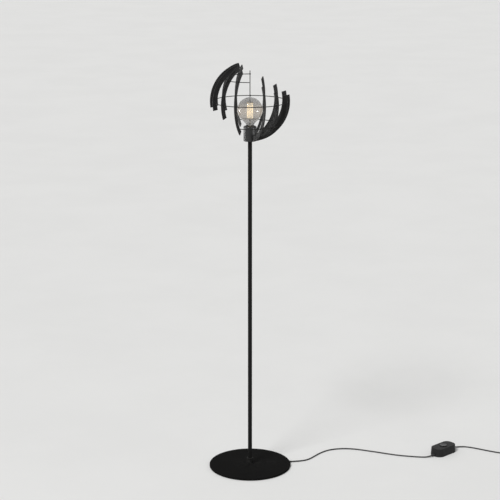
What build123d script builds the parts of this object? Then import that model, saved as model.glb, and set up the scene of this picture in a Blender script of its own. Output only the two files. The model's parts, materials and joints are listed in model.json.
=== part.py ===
from build123d import *
import math
import os

# Floor lamp: a flat round base, a thin pole of three screwed tubes, and an open globe cage
# of flat meridian ribs round a globe bulb. A foot switch and a plug are on the cord.
# Millimetres, +Z up. The origin is the centre of the base's underside, on the floor.
# -Y is the front: the side whose rib is left out, so that a hand can reach the bulb.

# Base
base_d = 320
plate_t = 7
plate_edge_r = 1.5
pad_t = 2
pad_inset = 3
collar_d = 26
collar_h = 25
collar_chamfer = 1
grub_d = 5
grub_key = 2.5
grub_key_depth = 2.5

# Pole
pole_d = 16
pole_wall = 1.2
pole_section_count = 3
coupler_l = 50
coupler_bore = 9
top_bush_l = 16

# Cage
cage_centre_z = 1456
cage_r = 150
rib_w = 18
rib_t = 3.2
wire_d = 3
ring_lat = 38.1
ring_stub = 3.5
upper_ring_gap_lat = 1

# Hub, nipple and socket cover
hub_d = 49
hub_h = 20
hub_floor = 3
hub_wall = 1.5
nipple_d = 10
nipple_bore = 7.4
nipple_in_bush = 13
nipple_in_holder = 6
hub_washer_d = 18
hub_washer_t = 1
hub_nut_flats = 14
hub_nut_t = 4
cover_h = 36
cover_wall = 1.5
cover_mouth_d = 38
cover_spigot_l = 8
cover_edge_r = 2.5

# Lampholder
holder_d = 36
holder_neck_d = 15
holder_wall = 2.5
holder_dome_h = 15
holder_mouth_drop = 3
insert_t = 4
insert_drop = 0.5
skirt_edge_r = 1
shell_bore_d = 27.2
shell_t = 0.6
shell_foot_d = 29.4
contact_w = 6
contact_l = 14
contact_t = 0.6
contact_rise = 3.1
lead_wire_d = 2

# Globe bulb
globe_d = 95
bulb_neck_l = 43
glass_t = 0.9
glass_in_cap = 2.5
neck_r = 16
neck_end_r = 12.4
shoulder_angle = 48
shoulder_fillet = 14
neck_fillet = 2
cap_d = 26.4
cap_l = 27
cap_t = 0.6
cap_foot_taper = 1.5
cap_insulator_h = 3.2
tip_d = 10
tip_h = 1
stem_d = 8
stem_flare_z = 5
filament_count = 10
filament_d = 3
filament_l = 61
filament_ring_d = 20.6
support_wire_d = 1.2

# Cord, foot switch and plug
cord_d = 5
cord_lie_z = 2.8
cord_exit_angle = 10.5
cord_exit_z = 4.2
cord_exit_in = 1
pole_bend_r = 10
cord_lean_r = 120
cord_lean_z = 160
cord_lean_l = 100
rim_bush_d = 7.2
rim_bush_tip_d = 6.0
rim_bush_in = 16
rim_bush_out = 8
switch_l = 111
switch_w = 60
switch_h = 33
switch_corner_r = 24
switch_draft = 3
switch_edge_r = 2.5
switch_wall = 2.2
switch_split_z = 7
switch_pos = (781.0, 133.0)
switch_angle = 43
cord_in_switch = 8
button_d = 30
button_proud = 3
button_flange = 2
button_flange_t = 1.6
button_stem_d = 8
button_stem_in = 1.5
button_travel = 3
block_l = 40
block_w = 28
block_top_z = 14
spring_d = 13
spring_wire = 1.2
switch_screw_d = 3
switch_screw_head_d = 5.6
switch_screw_head_t = 1.8
switch_screw_l = 12
switch_screw_pos = (35, 18)
switch_boss_d = 7
coil_outer_r = 37.2
coil_pitch = 5.6
coil_layer_h = 5.6
coil_half_turns = 6
coil_entry = (1052, 109)
coil_entry_angle = -24
plug_l = 37
plug_w = 35.3
plug_rear_w = 15
plug_h = 13.7
plug_edge_r = 2.5
plug_boot_l = 22
plug_boot_d = 9.5
plug_boot_tip_d = 6.4
plug_boot_ribs = 4
pin_d = 4
pin_l = 19
pin_spacing = 18.2
plug_angle = 86

# Clearances
slip = 0.15
weld_gap = 0.1
thread_gap = 0.1
wire_gap = 0.15
bulb_gap = 0.3
button_gap = 0.3
cord_gap = 0.2

# Worked out from the sizes above
plate_z = pad_t
plate_top_z = pad_t + plate_t
pole_bore_d = pole_d - 2 * pole_wall
hub_z = cage_centre_z - cage_r
hub_floor_z = hub_z + hub_floor
pole_section_l = (hub_z - plate_top_z) / pole_section_count
cover_top_z = hub_z + hub_h + cover_h
ring_r = cage_r - rib_w / 2
holder_z = hub_floor_z + hub_washer_t + hub_nut_t + 1
dome_top_z = holder_z + holder_dome_h
holder_top_z = cover_top_z - holder_mouth_drop
nipple_top_z = holder_z + nipple_in_holder
insert_top_z = dome_top_z - insert_drop
insert_z = insert_top_z - insert_t
bulb_tip_z = insert_top_z + contact_rise + contact_t + bulb_gap
cap_top_z = bulb_tip_z + cap_l
globe_z = bulb_tip_z + bulb_neck_l + globe_d / 2
wire_spread = contact_l / 2 - 1
filament_mid_z = globe_z - 2.5
filament_low_z = filament_mid_z - filament_l / 2
filament_top_z = filament_mid_z + filament_l / 2
glass_low_z = cap_top_z - glass_in_cap

# Azimuth from the front, positive to the right; the ends are latitudes on the cage's sphere,
# and an end of None runs down to the hub.
rib_ends_left = {22.5: (58.5, -49), 45: (66, -21), 67.5: (71, -10.5), 90: (74, -9)}
rib_ends_right = {22.5: (31, None), 45: (20, None), 67.5: (12.5, None), 90: (10, None)}
rib_ends_back = (42, None)
back = 180

os.makedirs("parts", exist_ok=True)


def rod(d, z0, z1, x=0, y=0):
    """A solid round bar from z0 up to z1."""
    return Pos(x, y, (z0 + z1) / 2) * Cylinder(d / 2, z1 - z0)


def tube(d, bore, z0, z1):
    """A round tube on the Z axis."""
    return rod(d, z0, z1) - rod(bore, z0 - 1, z1 + 1)


def turned(*edges):
    """Revolve a closed outline of edges, drawn in X and Z, about the Z axis."""
    return revolve(Plane.XZ * make_face(Wire(list(edges))), Axis.Z)


def turned_outline(*points):
    """Revolve a closed outline of straight lines, given as (radius, height)."""
    return revolve(Plane.XZ * make_face(Polyline(*points, close=True)), Axis.Z)


def polar(r, angle, z=0.0):
    """A point at a plan angle from +X."""
    a = math.radians(angle)
    return (r * math.cos(a), r * math.sin(a), z)


def ahead(point, angle, distance, z=None):
    """The point a distance further on in a plan direction."""
    step = polar(distance, angle)
    return (point[0] + step[0], point[1] + step[1], point[2] if z is None else z)


def base_plate():
    plate = rod(base_d, plate_z, plate_top_z)
    plate = fillet(plate.edges().group_by(Axis.Z)[-1], plate_edge_r)
    plate -= rod(pole_bore_d, plate_z - 1, plate_top_z + 1)
    groove_w = cord_d + 6 * cord_gap
    groove_top = cord_exit_z + cord_d / 2 + cord_gap
    groove = Pos(base_d / 4 + 1, 0, (plate_z - 1 + groove_top) / 2)
    groove *= Box(base_d / 2 + 2, groove_w, groove_top - plate_z + 1)
    pocket_l = rim_bush_in + slip
    pocket = Pos(base_d / 2 - pocket_l / 2 + 1, 0, cord_exit_z)
    pocket_bore = pocket * Rot(0, 90, 0) * Cylinder(rim_bush_d / 2 + slip, pocket_l + 2)
    pocket_foot = Pos(base_d / 2 - pocket_l / 2 + 1, 0, (plate_z - 1 + cord_exit_z) / 2)
    pocket_foot *= Box(pocket_l + 2, rim_bush_d + 2 * slip, cord_exit_z - plate_z + 1)
    return plate - Rot(0, 0, cord_exit_angle) * (groove + pocket_bore + pocket_foot)


def base_pad():
    pad = tube(base_d - 2 * pad_inset, pole_d * 1.75, 0, pad_t)
    slot = Pos(base_d / 4, 0, pad_t / 2) * Box(base_d / 2, rim_bush_d + 3, pad_t + 2)
    return pad - Rot(0, 0, cord_exit_angle) * slot


def pole_collar():
    collar = rod(collar_d, plate_top_z, plate_top_z + collar_h)
    collar = chamfer(collar.edges().group_by(Axis.Z)[-1], collar_chamfer)
    collar -= rod(pole_d + 2 * slip, plate_top_z - 1, plate_top_z + collar_h + 1)
    hole = Pos(0, collar_d / 2, plate_top_z + collar_h / 2) * Rot(90, 0, 0)
    return collar - hole * Cylinder(grub_d / 2 + thread_gap, collar_d / 2)


def collar_grub_screw():
    length = (collar_d - pole_d) / 2 - slip
    screw = Cylinder(grub_d / 2, length)
    key = Pos(0, 0, -length / 2 + grub_key_depth / 2)
    screw -= key * extrude(RegularPolygon(grub_key / 2, 6, major_radius=False),
                           grub_key_depth / 2, both=True)
    mid_y = pole_d / 2 + slip / 2 + length / 2
    return Pos(0, mid_y, plate_top_z + collar_h / 2) * Rot(90, 0, 0) * screw


def pole_tube(index):
    z0 = plate_top_z + index * pole_section_l
    return tube(pole_d, pole_bore_d, z0, z0 + pole_section_l)


def pole_coupler(index):
    mid = plate_top_z + index * pole_section_l
    return tube(pole_bore_d - 2 * slip, coupler_bore, mid - coupler_l / 2, mid + coupler_l / 2)


def pole_top_bush():
    return tube(pole_bore_d - 2 * slip, nipple_d + 2 * thread_gap, hub_z - top_bush_l, hub_z)


def nipple():
    return tube(nipple_d, nipple_bore, hub_z - nipple_in_bush, nipple_top_z)


def cage_hub():
    cup = rod(hub_d, hub_z, hub_z + hub_h)
    cup -= rod(hub_d - 2 * hub_wall, hub_floor_z, hub_z + hub_h + 1)
    return cup - rod(nipple_d + 2 * slip, hub_z - 1, hub_floor_z + 1)


def hub_washer():
    return tube(hub_washer_d, nipple_d + 2 * slip, hub_floor_z, hub_floor_z + hub_washer_t)


def hub_nut():
    z0 = hub_floor_z + hub_washer_t
    nut = Pos(0, 0, z0) * extrude(RegularPolygon(hub_nut_flats / 2, 6, major_radius=False), hub_nut_t)
    return nut - rod(nipple_d + 2 * thread_gap, z0 - 1, z0 + hub_nut_t + 1)


def ring_place(latitude):
    """Radius and height of a cage wire at a latitude."""
    a = math.radians(latitude)
    return ring_r * math.cos(a), cage_centre_z + ring_r * math.sin(a)


def cage_rib(azimuth, top, bottom):
    """A flat rib in the upright plane at an azimuth, drilled for the wires that cross it."""
    low = -90 if bottom is None else bottom
    outer = CenterArc((0, cage_centre_z), cage_r, low, top - low)
    inner = CenterArc((0, cage_centre_z), cage_r - rib_w, low, top - low)
    ends = [Line(outer @ 0, inner @ 0), Line(outer @ 1, inner @ 1)]
    rib = extrude(Plane.XZ * make_face(Wire([outer, inner, *ends])), rib_t / 2, both=True)
    if bottom is None:
        rib -= rod(hub_d + 2 * weld_gap, hub_z - 1, cage_centre_z)
    for latitude in (-ring_lat, 0, ring_lat):
        if low < latitude < top:
            r, z = ring_place(latitude)
            rib -= Pos(r, 0, z) * Rot(90, 0, 0) * Cylinder(wire_d / 2 + wire_gap, rib_t * 2)
    return Rot(0, 0, azimuth - 90) * rib


def cage_ring(latitude, start, sweep):
    """A wire round the cage from one azimuth on through a sweep of degrees."""
    r, z = ring_place(latitude)
    section = Plane.XZ * Pos(r, z) * Circle(wire_d / 2)
    return Rot(0, 0, start - 90) * revolve(section, Axis.Z, sweep)


def stub_degrees(latitude):
    """How far a wire runs on past a rib, as degrees round the cage."""
    return math.degrees(ring_stub / ring_place(latitude)[0])


def ring_upper():
    stub = stub_degrees(ring_lat)
    return cage_ring(ring_lat, -back - stub, back + stub - upper_ring_gap_lat)


def ring_lower():
    stub = stub_degrees(-ring_lat)
    first = -min(rib_ends_left)
    return cage_ring(-ring_lat, first - stub, back - 2 * first + 2 * stub)


def socket_cover():
    spigot_r = hub_d / 2 - hub_wall - slip
    z0 = hub_z + hub_h
    cover = rod(hub_d, z0, cover_top_z)
    cover = fillet(cover.edges().group_by(Axis.Z)[-1], cover_edge_r)
    cover += rod(2 * spigot_r, z0 - cover_spigot_l, z0 + 1)
    bore_r = spigot_r - cover_wall
    cover -= rod(2 * bore_r, z0 - cover_spigot_l - 1, cover_top_z - cover_wall)
    return cover - rod(cover_mouth_d, cover_top_z - cover_wall - 1, cover_top_z + 1)


def lampholder_dome():
    """The threaded foot, with a ledge inside its rim for the insert."""
    r = holder_d / 2
    outer = turned_outline((0, holder_z), (holder_neck_d / 2, holder_z),
                           (holder_neck_d / 2, holder_z + 3), (r - 3, insert_z - 2),
                           (r, insert_z), (r, dome_top_z), (0, dome_top_z))
    inner = turned_outline((0, nipple_top_z), (holder_neck_d / 2 - 1, nipple_top_z),
                           (r - holder_wall - 3, insert_z), (r - holder_wall, insert_z),
                           (r - holder_wall, dome_top_z + 1), (0, dome_top_z + 1))
    return outer - inner - rod(nipple_d + 2 * thread_gap, holder_z - 1, nipple_top_z + 1)


def lampholder_insert():
    disc = rod(holder_d - 2 * holder_wall - 2 * slip, insert_z, insert_top_z)
    for side in (-1, 1):
        disc -= rod(lead_wire_d + 2 * slip, insert_z - 1, insert_top_z + 1, x=side * wire_spread)
    return disc


def lampholder_skirt():
    skirt = rod(holder_d, dome_top_z, holder_top_z)
    skirt = fillet(skirt.edges().group_by(Axis.Z)[-1], skirt_edge_r)
    return skirt - rod(holder_d - 2 * holder_wall, dome_top_z - 1, holder_top_z + 1)


def lampholder_shell():
    z0 = insert_top_z
    shell = rod(shell_bore_d + 2 * shell_t, z0, holder_top_z - 1) + rod(shell_foot_d, z0, z0 + shell_t)
    shell -= rod(shell_bore_d, z0 + shell_t, holder_top_z)
    return shell - Pos(0, 0, z0) * Box(contact_l + 8, contact_w + 4, 4 * shell_t)


def centre_contact():
    """A spring strip that rises from the insert to just under the bulb's tip."""
    z0 = insert_top_z
    half = contact_l / 2
    path = [(-half, 0), (-half + 3, 0), (-2.5, contact_rise), (2.5, contact_rise), (half - 3, 0), (half, 0)]
    lower = [(x, z0 + z) for x, z in path]
    upper = [(x, z0 + z + contact_t) for x, z in reversed(path)]
    strip = Plane.XZ * make_face(Polyline(*lower, *upper, close=True))
    return extrude(strip, contact_w / 2, both=True)


def lead_wires():
    """Two wires from the cord's end up through the insert."""
    wires = []
    for side in (-1, 1):
        start_x = side * lead_wire_d * 0.6
        end_x = side * wire_spread
        route = FilletPolyline((start_x, 0, nipple_top_z), (start_x, 0, nipple_top_z + 1),
                               (end_x, 0, insert_z - 0.5), (end_x, 0, insert_top_z), radius=0.5)
        start = Plane(origin=route @ 0, z_dir=route % 0)
        wires.append(sweep(start * Circle(lead_wire_d / 2), route))
    return Compound(wires)


def neck_knee(inset):
    """Where the globe's shoulder line meets the neck, and where that line leaves the globe."""
    r = globe_d / 2 - inset
    a = math.radians(shoulder_angle)
    leave = (r * math.sin(a), globe_z - r * math.cos(a))
    run = (leave[0] - neck_r + inset) / math.cos(a)
    return (neck_r - inset, leave[1] - run * math.sin(a)), leave


def globe_solid(inset):
    """The globe and its neck as one solid, drawn in by an inset."""
    r = globe_d / 2 - inset
    knee, leave = neck_knee(inset)
    end_r = neck_end_r - inset
    crown = ThreePointArc((0, globe_z + r), (r, globe_z), leave)
    neck_line = FilletPolyline(leave, knee, (end_r, cap_top_z), (end_r, glass_low_z),
                               radius=[shoulder_fillet, neck_fillet])
    floor = Line(neck_line @ 1, (0, glass_low_z))
    axis = Line((0, glass_low_z), (0, globe_z + r))
    return turned(crown, *neck_line.edges(), floor, axis)


def neck_inside_r(z):
    """The neck's inner radius at a height between the cap's rim and the knee."""
    knee, _ = neck_knee(glass_t)
    share = (z - cap_top_z) / (knee[1] - cap_top_z)
    end_r = neck_end_r - glass_t
    return end_r + share * (knee[0] - end_r)


def bulb_glass():
    bore = rod(2 * (neck_end_r - glass_t), glass_low_z - 1, glass_low_z + 2)
    return globe_solid(0) - globe_solid(glass_t) - bore


def bulb_cap():
    """The thin metal screw cap, drawn in at its foot round the insulator."""
    z0 = bulb_tip_z + tip_h + cap_insulator_h
    r = cap_d / 2
    t = cap_t
    foot = cap_foot_taper
    return turned_outline((tip_d / 2, z0), (r - foot, z0), (r, z0 + foot), (r, cap_top_z),
                          (r - t, cap_top_z), (r - t, z0 + foot + t / 2), (r - foot - t / 2, z0 + t),
                          (tip_d / 2, z0 + t))


def bulb_insulator():
    z0 = bulb_tip_z + tip_h
    z1 = z0 + cap_insulator_h
    return turned_outline((0, z0), (tip_d / 2 + 1, z0), (cap_d / 2 - 2, z1), (0, z1))


def bulb_tip():
    tip = rod(tip_d, bulb_tip_z, bulb_tip_z + tip_h)
    return fillet(tip.edges().group_by(Axis.Z)[0], tip_h * 0.6)


def bulb_stem():
    """The glass mount: a flare sealed in the neck, and the tube that carries the filaments."""
    z0 = cap_top_z + stem_flare_z
    flare_r = neck_inside_r(z0) - slip
    top = filament_low_z - support_wire_d - slip
    r = stem_d / 2
    return turned_outline((0, z0), (flare_r, z0), (flare_r, z0 + 0.8), (r, z0 + 8),
                          (r, top - 2), (r - 1.5, top), (0, top))


def bulb_filaments():
    rods = []
    for index in range(filament_count):
        x, y, _ = polar(filament_ring_d / 2, (index + 0.5) * 360 / filament_count)
        rods.append(rod(filament_d, filament_low_z, filament_top_z, x, y))
    return Compound(rods)


def bulb_wires():
    """Two rings that hold the filaments' ends, each on a crossbar of one centre wire."""
    wire = support_wire_d
    low_z = filament_low_z - wire / 2
    top_z = filament_top_z + wire / 2
    frame = rod(wire, low_z, top_z)
    for z in (low_z, top_z):
        frame += Pos(0, 0, z) * Torus(filament_ring_d / 2, wire / 2)
        frame += Pos(0, 0, z) * Rot(0, 90, 0) * Cylinder(wire / 2, filament_ring_d)
    return frame


def cord_tube(route):
    """A round cord along a route, with its volume set against section times length."""
    section = Plane(origin=route @ 0, z_dir=route % 0) * Circle(cord_d / 2)
    solid = sweep(section, route)
    ideal = math.pi * (cord_d / 2) ** 2 * route.length
    print(f"  length {route.length:.1f} mm, volume {solid.volume / ideal:.4f} of section x length")
    return solid


def cord_route(points):
    """Straight runs joined by arcs, each as large as its two runs allow."""
    corners = [Vector(*p) for p in points]
    radii = []
    for before, here, after in zip(corners, corners[1:], corners[2:]):
        turn = math.radians((here - before).get_angle(after - here))
        run = min((here - before).length, (after - here).length)
        radii.append(0.45 * run / math.tan(turn / 2))
    print("  radii", [round(r) for r in radii])
    return FilletPolyline(*corners, radius=radii)


exit_point = polar(base_d / 2 - cord_exit_in, cord_exit_angle, cord_exit_z)
switch_centre = (switch_pos[0], switch_pos[1], switch_split_z)
switch_in = ahead(switch_centre, switch_angle, -switch_l / 2 + cord_in_switch)
switch_out = ahead(switch_centre, switch_angle, switch_l / 2 - cord_in_switch)

to_switch_points = [
    exit_point, ahead(exit_point, cord_exit_angle, 23), (202, 39.5, 3.0), (228, 51, 2.8), (248, 74, 2.8),
    (267, 103, 2.8), (290, 133, 2.8), (316, 156, 2.8), (346, 169, 2.8), (380, 174, 2.8),
    (415, 171, 2.8), (447, 161.5, 2.8), (481, 147.5, 2.8), (515, 134, 2.8), (551, 118, 2.8),
    (588, 103, 2.8), (622, 93.5, 2.8), (657, 85.5, 2.8), (690, 80.5, 2.8), (709, 80.2, 3.4),
    ahead(switch_in, switch_angle, -22), switch_in]

coil_turn_in = (coil_entry[0], coil_entry[1], cord_lie_z)
coil_start = ahead(coil_turn_in, coil_entry_angle, -cord_d)
to_coil_points = [
    switch_out, ahead(switch_out, switch_angle, 22), (849, 190.5, 4.0), (873, 195.5, 2.8), (900, 187, 2.8),
    (925, 173, 2.8), (950, 158.5, 2.8), (977, 143, 2.8), (1004, 129.5, 2.8),
    ahead(coil_start, coil_entry_angle, -20), coil_start]


def cord_in_pole():
    """From the lampholder down the pole, round into the base's groove, to the rim."""
    offset = -pole_bend_r * 0.35
    top = polar(offset, cord_exit_angle, plate_top_z + cord_lean_z)
    low = polar(offset, cord_exit_angle, cord_exit_z)
    route = FilletPolyline((0, 0, nipple_top_z), (0, 0, top[2] + cord_lean_l), top, low,
                           exit_point, radius=[cord_lean_r, cord_lean_r, pole_bend_r])
    return cord_tube(route)


def cord_rim_bush():
    """The tapered strain relief in the rim: a plain end in the pocket, a taper outside."""
    inner = base_d / 2 - rim_bush_in
    rim_face = base_d / 2 + rim_bush_out
    body = Plane.XZ * make_face(Polyline((cord_d / 2 + cord_gap, inner), (rim_bush_d / 2, inner),
                                         (rim_bush_d / 2, base_d / 2 + 1), (rim_bush_tip_d / 2, rim_face),
                                         (cord_d / 2 + cord_gap, rim_face), close=True))
    bush = revolve(body, Axis.Z)
    return Pos(0, 0, cord_exit_z) * Rot(0, 0, cord_exit_angle) * Rot(0, 90, 0) * bush


def half_turn(start, heading, r, climb=0.0):
    """The two arcs of a half turn to the left, level or climbing, and the point it ends at."""
    side = polar(1, heading + 90)
    end = (start[0] + 2 * r * side[0], start[1] + 2 * r * side[1], start[2] + climb)
    reach = math.hypot(2 * r, climb) / 2
    middle = ahead(start, heading, reach)
    joint = (middle[0] + r * side[0], middle[1] + r * side[1], start[2] + climb / 2)
    first = TangentArc(start, joint, tangent=polar(1, heading))
    second = TangentArc(joint, end, tangent=first % 1)
    return [first, second], end


def coil_route():
    """Half turns that spiral in on the floor, climb a layer, and spiral out on top."""
    radii = [coil_outer_r - index * coil_pitch / 2 for index in range(coil_half_turns)]
    heading = coil_entry_angle
    point = coil_turn_in
    edges = [Line(coil_start, point)]
    inner_r = radii[-1] - coil_pitch / 2
    plan = [(r, 0) for r in radii] + [(inner_r, coil_layer_h)] + [(r, 0) for r in radii[:0:-1]]
    for r, climb in plan:
        arcs, point = half_turn(point, heading, r, climb)
        edges += arcs
        heading += 180
    end = ahead(point, heading, cord_d)
    edges.append(Line(point, end))
    print("  coil's turning radii", [round(r, 1) for r, _ in plan])
    return Wire(edges), end


def least_gap(route, apart):
    """The least clear distance between stretches of a tube that are apart along it."""
    count = int(route.length / 2)
    points = [route @ (i / count) for i in range(count + 1)]
    skip = int(apart / 2)
    gaps = [(points[i] - points[j]).length for i in range(count + 1) for j in range(i + skip, count + 1)]
    return min(gaps) - cord_d


coil_line, coil_end = coil_route()
plug_cord_end = (1127.6, 140.0, plug_h / 2)
tail_points = [coil_end, ahead(coil_end, coil_entry_angle, 13), (1089, 95.5, 5.2), (1110, 99.5, 3.4),
               (1123, 115, 4.4), ahead(plug_cord_end, plug_angle, -15), plug_cord_end]


def switch_place():
    return Pos(switch_pos[0], switch_pos[1], 0) * Rot(0, 0, switch_angle)


def switch_block(inset, z0, z1, draft=0.0):
    """The switch's rounded plan between two heights, drawn in by an inset."""
    plan = RectangleRounded(switch_l - 2 * inset, switch_w - 2 * inset, switch_corner_r - inset)
    return Pos(0, 0, z0) * extrude(plan, z1 - z0, taper=draft)


def switch_cord_holes():
    return Pos(0, 0, switch_split_z) * Rot(0, 90, 0) * Cylinder(cord_d / 2 + cord_gap, switch_l + 2)


def screw_spots():
    x, y = switch_screw_pos
    return [(x, -y), (-x, y)]


def switch_lower_shell():
    shell = switch_block(0, 0, switch_split_z)
    shell = chamfer(shell.edges().group_by(Axis.Z)[0], 0.8)
    shell -= switch_block(switch_wall, switch_wall, switch_split_z + 1)
    shell -= switch_cord_holes()
    for x, y in screw_spots():
        shell += rod(switch_boss_d, 0.8, switch_split_z - slip, x, y)
        shell -= rod(switch_screw_head_d + 0.6, -1, switch_screw_head_t + 0.8, x, y)
        shell -= rod(switch_screw_d + 0.4, -1, switch_split_z + 1, x, y)
    return switch_place() * shell


def switch_upper_shell():
    shell = switch_block(0, switch_split_z, switch_h, switch_draft)
    shell = fillet(shell.edges().group_by(Axis.Z)[-1], switch_edge_r)
    shell -= switch_block(switch_wall, switch_split_z - 0.01, switch_h - switch_wall, switch_draft)
    shell -= switch_cord_holes()
    shell -= rod(button_d + 2 * button_gap, switch_h - 2 * switch_wall, switch_h + 1)
    for x, y in screw_spots():
        shell += rod(switch_boss_d, switch_split_z + slip, switch_h - switch_wall + 0.5, x, y)
        shell -= rod(switch_screw_d, switch_split_z, switch_split_z + switch_screw_l, x, y)
    return switch_place() * shell


def switch_button():
    flange_top = switch_h - switch_wall - button_gap
    flange_d = button_d + 2 * button_flange
    cap = rod(button_d, flange_top - 0.5, switch_h + button_proud)
    cap = fillet(cap.edges().group_by(Axis.Z)[-1], 1.5)
    cap += rod(flange_d, flange_top - button_flange_t, flange_top)
    return switch_place() * (cap + rod(button_stem_d, block_top_z - button_stem_in, flange_top - 0.5))


def switch_contact_block():
    block = Pos(0, 0, (switch_wall + block_top_z) / 2) * Box(block_l, block_w, block_top_z - switch_wall)
    block = fillet(block.edges().filter_by(Axis.Z), 2)
    bore_z = block_top_z - button_stem_in - button_travel - button_gap
    block -= rod(button_stem_d + 2 * button_gap, bore_z, block_top_z + 1)
    return switch_place() * block


def switch_spring():
    """The return spring's outer form: the space that its turns fill round the button's stem."""
    top = switch_h - switch_wall - button_gap - button_flange_t
    return switch_place() * tube(spring_d, spring_d - 2 * spring_wire, block_top_z, top)


def switch_screws():
    screws = []
    for x, y in screw_spots():
        head_top = 0.8 + switch_screw_head_t - 0.1
        screw = rod(switch_screw_head_d, head_top - switch_screw_head_t, head_top, x, y)
        screw += rod(switch_screw_d - 2 * thread_gap, head_top - 0.1, switch_split_z + switch_screw_l - 1, x, y)
        screws.append(screw)
    return switch_place() * Compound(screws)


def plug_place():
    return Pos(*plug_cord_end) * Rot(0, 0, plug_angle)


def plug_body():
    """A flat two-pin plug: a waisted body that tapers to its ribbed boot, along +X."""
    half = plug_w / 2
    rear = plug_rear_w / 2
    x0 = plug_boot_l
    x1 = plug_boot_l + plug_l
    shoulder = x1 - 9
    sides = [Spline((x0, s * rear), (x0 + plug_l * 0.45, s * half * 0.72), (shoulder, s * half),
                    tangents=[(1, s * 0.15), (1, 0)]) for s in (-1, 1)]
    ends = [Line((x0, -rear), (x0, rear)), Line((x1, -half), (x1, half))]
    cheeks = [Line((shoulder, s * half), (x1, s * half)) for s in (-1, 1)]
    edges = sides + ends + cheeks
    body = extrude(make_face(Wire(edges)), plug_h / 2, both=True)
    rims = body.edges().group_by(Axis.Z)
    body = fillet(rims[0] + rims[-1], plug_edge_r)
    boot = [(cord_d / 2 + cord_gap, 0), (plug_boot_tip_d / 2, 0)]
    step = plug_boot_l / plug_boot_ribs
    for index in range(plug_boot_ribs):
        r = plug_boot_tip_d / 2 + (plug_boot_d - plug_boot_tip_d) / 2 * (index + 1) / plug_boot_ribs
        x = index * step
        boot += [(r, x + step * 0.45), (r, x + step), (r - 0.4, x + step)]
    boot += [(plug_boot_d / 2, x0 + 1), (cord_d / 2 + cord_gap, x0 + 1)]
    sleeve = Rot(0, 90, 0) * turned_outline(*boot)
    body = body + sleeve
    body -= Pos(x0 / 2 + 2, 0, 0) * Rot(0, 90, 0) * Cylinder(cord_d / 2 + cord_gap, x0 + 5)
    for y in (-pin_spacing / 2, pin_spacing / 2):
        body -= Pos(x1 - 4, y, 0) * Rot(0, 90, 0) * Cylinder(pin_d / 2 + thread_gap, 9)
    return plug_place() * body


def plug_pins():
    x1 = plug_boot_l + plug_l
    pins = []
    for y in (-pin_spacing / 2, pin_spacing / 2):
        pin = Pos(x1 + (pin_l - 8) / 2, y, 0) * Rot(0, 90, 0) * Cylinder(pin_d / 2, pin_l + 8)
        pins.append(fillet(pin.edges().group_by(Axis.X)[-1], 1.2))
    return plug_place() * Compound(pins)


def all_nodes():
    nodes = {
        "base_plate": base_plate(), "base_pad": base_pad(), "pole_collar": pole_collar(),
        "collar_grub_screw": collar_grub_screw(),
        "pole_lower": pole_tube(0), "pole_middle": pole_tube(1), "pole_upper": pole_tube(2),
        "pole_coupler_lower": pole_coupler(1), "pole_coupler_upper": pole_coupler(2),
        "pole_top_bush": pole_top_bush(), "nipple": nipple(),
        "cage_hub": cage_hub(), "hub_washer": hub_washer(), "hub_nut": hub_nut(),
        "ring_upper": ring_upper(), "ring_middle": cage_ring(0, 0, 360), "ring_lower": ring_lower(),
        "socket_cover": socket_cover(),
        "lampholder_dome": lampholder_dome(), "lampholder_insert": lampholder_insert(),
        "lampholder_skirt": lampholder_skirt(), "lampholder_shell": lampholder_shell(),
        "lampholder_contact": centre_contact(), "lampholder_wires": lead_wires(),
        "bulb_glass": bulb_glass(), "bulb_cap": bulb_cap(), "bulb_insulator": bulb_insulator(),
        "bulb_tip": bulb_tip(), "bulb_stem": bulb_stem(), "bulb_filaments": bulb_filaments(),
        "bulb_wires": bulb_wires(),
        "cord_in_pole": cord_in_pole(), "cord_rim_bush": cord_rim_bush(),
        "cord_to_switch": cord_tube(cord_route(to_switch_points)),
        "switch_lower_shell": switch_lower_shell(), "switch_upper_shell": switch_upper_shell(),
        "switch_button": switch_button(), "switch_contact_block": switch_contact_block(),
        "switch_spring": switch_spring(), "switch_screws": switch_screws(),
        "cord_to_coil": cord_tube(cord_route(to_coil_points)),
        "cord_coil": cord_tube(coil_line), "cord_tail": cord_tube(cord_route(tail_points)),
        "plug_body": plug_body(), "plug_pins": plug_pins(),
    }
    names = {22.5: "front", 45: "front_mid", 67.5: "front_side", 90: "side"}
    for angle, label in names.items():
        nodes[f"rib_left_{label}"] = cage_rib(-angle, *rib_ends_left[angle])
        nodes[f"rib_right_{label}"] = cage_rib(angle, *rib_ends_right[angle])
        if angle < 90:
            rear = label.replace("front", "back")
            nodes[f"rib_left_{rear}"] = cage_rib(angle - back, *rib_ends_left[angle])
            nodes[f"rib_right_{rear}"] = cage_rib(back - angle, *rib_ends_right[angle])
    nodes["rib_back"] = cage_rib(back, *rib_ends_back)
    return nodes


print(f"coil's least gap to itself {least_gap(coil_line, 4 * cord_d):.2f} mm")
for name, solid in all_nodes().items():
    export_step(solid, f"parts/{name}.step")
    print(name)
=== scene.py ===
import json
import math
import random

import bmesh
import bpy
from mathutils import Matrix, Vector


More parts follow.
